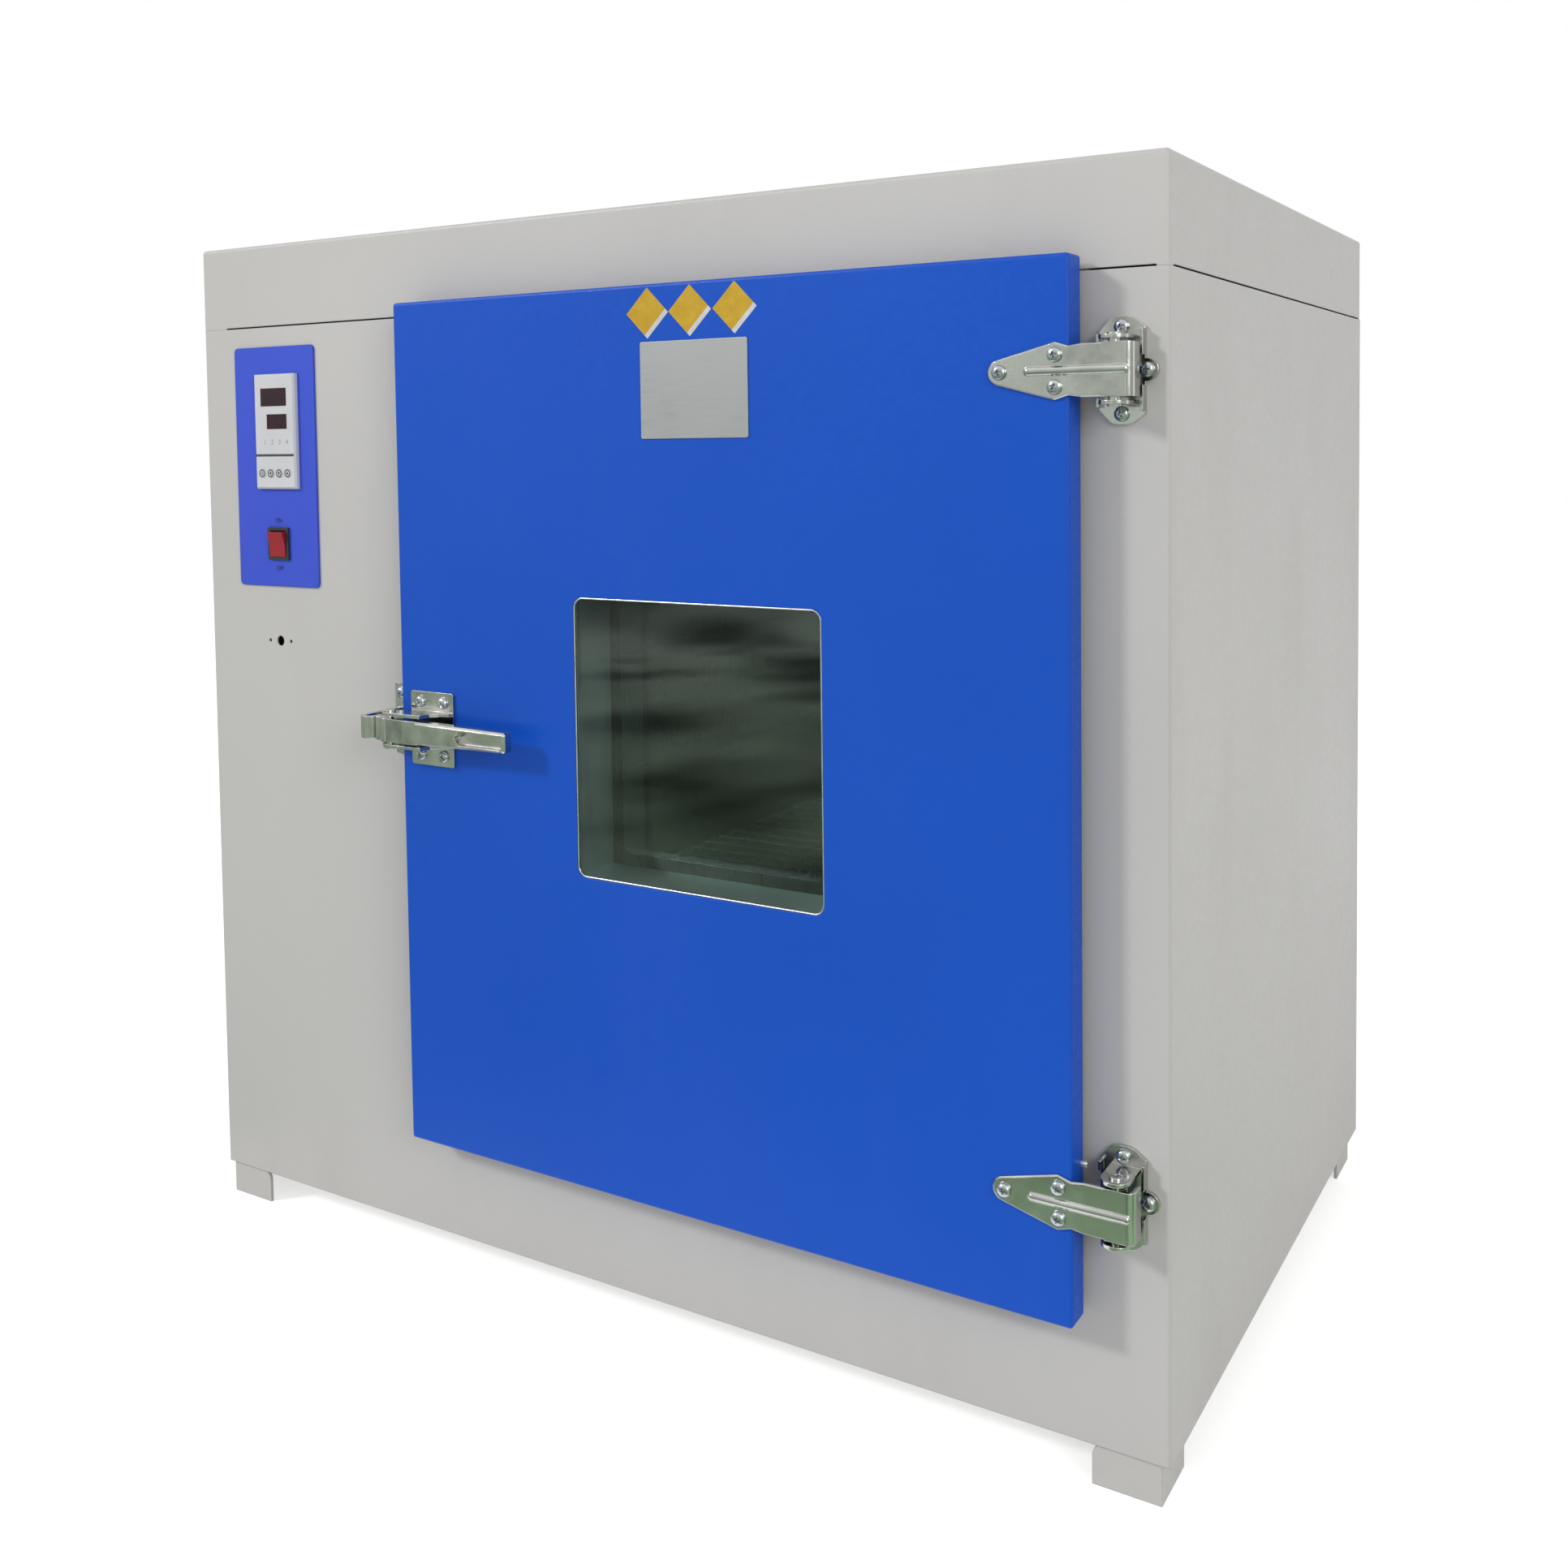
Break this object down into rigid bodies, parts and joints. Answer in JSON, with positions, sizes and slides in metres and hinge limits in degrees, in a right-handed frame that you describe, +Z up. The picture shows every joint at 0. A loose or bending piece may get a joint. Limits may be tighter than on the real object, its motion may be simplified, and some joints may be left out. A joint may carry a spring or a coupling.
{
  "type": "hot air circulation oven",
  "caption": "Floor or bench standing sheet steel oven with a side-hinged windowed door, lever latch, fan circulated chamber, shelves and a control panel.",
  "frame": {"origin": "on the floor under the centre of the whole oven, hardware included", "axes": "+X to the oven's right seen from the front, -Y out of the front, +Z up"},
  "size_m": [0.85, 0.622, 0.8478],
  "materials": {
    "casing": "satin powder coat, light warm grey",
    "door_blue": "satin powder coat, blue",
    "panel_blue": "satin, violet blue",
    "chamber_steel": "brushed",
    "sheet_zinc": "galvanised",
    "hardware": "bright plated",
    "plate_satin": "satin",
    "screws": "bright plated",
    "glass": "clear",
    "wool": "matt glass wool",
    "silicone": "matt",
    "controller_face": "satin",
    "controller_black": "matt",
    "display": "gloss",
    "key_plastic": "satin",
    "switch_black": "satin",
    "switch_red": "gloss",
    "motor_paint": "matt",
    "heater_steel": "heat tinted",
    "terminal_plastic": "matt"
  },
  "bodies": {
    "casing": {"body_shell": "casing", "top_cover": "casing", "back_panel": "casing", "back_panel_screws": "screws", "base_pan": "casing", "foot_front_left": "casing", "foot_front_right": "casing", "foot_rear_left": "casing", "foot_rear_right": "casing", "compartment_partition": "sheet_zinc", "chamber_stands": "sheet_zinc", "chamber_liner": "chamber_steel", "chamber_insulation": "wool", "floor_plate": "chamber_steel", "duct_plate": "chamber_steel", "shelf_rails": "chamber_steel", "heater_elements": "heater_steel", "fan_motor": "motor_paint", "motor_bracket": "sheet_zinc", "temperature_probe": "hardware", "exhaust_collar": "chamber_steel", "terminal_block": "terminal_plastic", "cable_gland": "switch_black", "control_panel": "panel_blue", "controller_case": "controller_black", "controller_bezel": "controller_face", "upper_display": "display", "lower_display": "display", "rocker_bezel": "switch_black", "hinge_pins": "hardware", "bracket_screws": "screws", "keeper": "hardware", "keeper_screws": "screws", "upper_hinge_bracket": "hardware", "lower_hinge_bracket": "hardware"},
    "door": {"door_skin": "door_blue", "door_inner_panel": "chamber_steel", "door_insulation": "wool", "door_gasket": "silicone", "window_outer_glass": "glass", "window_inner_glass": "glass", "window_sleeve": "chamber_steel", "upper_hinge_strap": "hardware", "lower_hinge_strap": "hardware", "strap_screws": "screws", "latch_base": "hardware", "latch_screws": "screws", "latch_pin": "hardware", "bare_plate": "plate_satin"},
    "lever": {"latch_lever": "hardware"},
    "rocker": {"rocker_button": "switch_red"},
    "fan": {"fan_shaft": "hardware", "fan_impeller": "chamber_steel"},
    "damper": {"exhaust_damper": "chamber_steel"},
    "upper_tray": {"upper_shelf": "chamber_steel"},
    "lower_tray": {"lower_shelf": "chamber_steel"},
    "button_1": {"key_1": "key_plastic"},
    "button_2": {"key_2": "key_plastic"},
    "button_3": {"key_3": "key_plastic"},
    "button_4": {"key_4": "key_plastic"}
  },
  "joints": [
    {"name": "door_hinge", "type": "hinge", "parent": "casing", "child": "door", "pos_m": [0.398, -0.2815, 0.4395], "axis": [0, 0, 1], "range_deg": [0, 120]},
    {"name": "latch_lever", "type": "hinge", "parent": "door", "child": "lever", "pos_m": [-0.173, -0.303, 0.44], "axis": [0, 0, -1], "range_deg": [0, 70]},
    {"name": "power_rocker", "type": "hinge", "parent": "casing", "child": "rocker", "pos_m": [-0.336, -0.2625, 0.5765], "axis": [1, 0, 0], "range_deg": [-20, 0]},
    {"name": "fan_spin", "type": "hinge", "parent": "casing", "child": "fan", "pos_m": [-0.12, -0.0398, 0.4395], "axis": [1, 0, 0], "continuous": true},
    {"name": "exhaust_turn", "type": "hinge", "parent": "casing", "child": "damper", "pos_m": [0.098, -0.0398, 0.836], "axis": [0, 0, 1], "range_deg": [0, 90]},
    {"name": "upper_shelf_slide", "type": "slide", "parent": "casing", "child": "upper_tray", "axis": [0, -1, 0], "range_m": [0, 0.028]},
    {"name": "lower_shelf_slide", "type": "slide", "parent": "casing", "child": "lower_tray", "axis": [0, -1, 0], "range_m": [0, 0.028]},
    {"name": "key_1_press", "type": "slide", "parent": "casing", "child": "button_1", "axis": [0, 1, 0], "range_m": [0, 0.0007], "stiffness_N_per_m": 300},
    {"name": "key_2_press", "type": "slide", "parent": "casing", "child": "button_2", "axis": [0, 1, 0], "range_m": [0, 0.0007], "stiffness_N_per_m": 300},
    {"name": "key_3_press", "type": "slide", "parent": "casing", "child": "button_3", "axis": [0, 1, 0], "range_m": [0, 0.0007], "stiffness_N_per_m": 300},
    {"name": "key_4_press", "type": "slide", "parent": "casing", "child": "button_4", "axis": [0, 1, 0], "range_m": [0, 0.0007], "stiffness_N_per_m": 300}
  ]
}
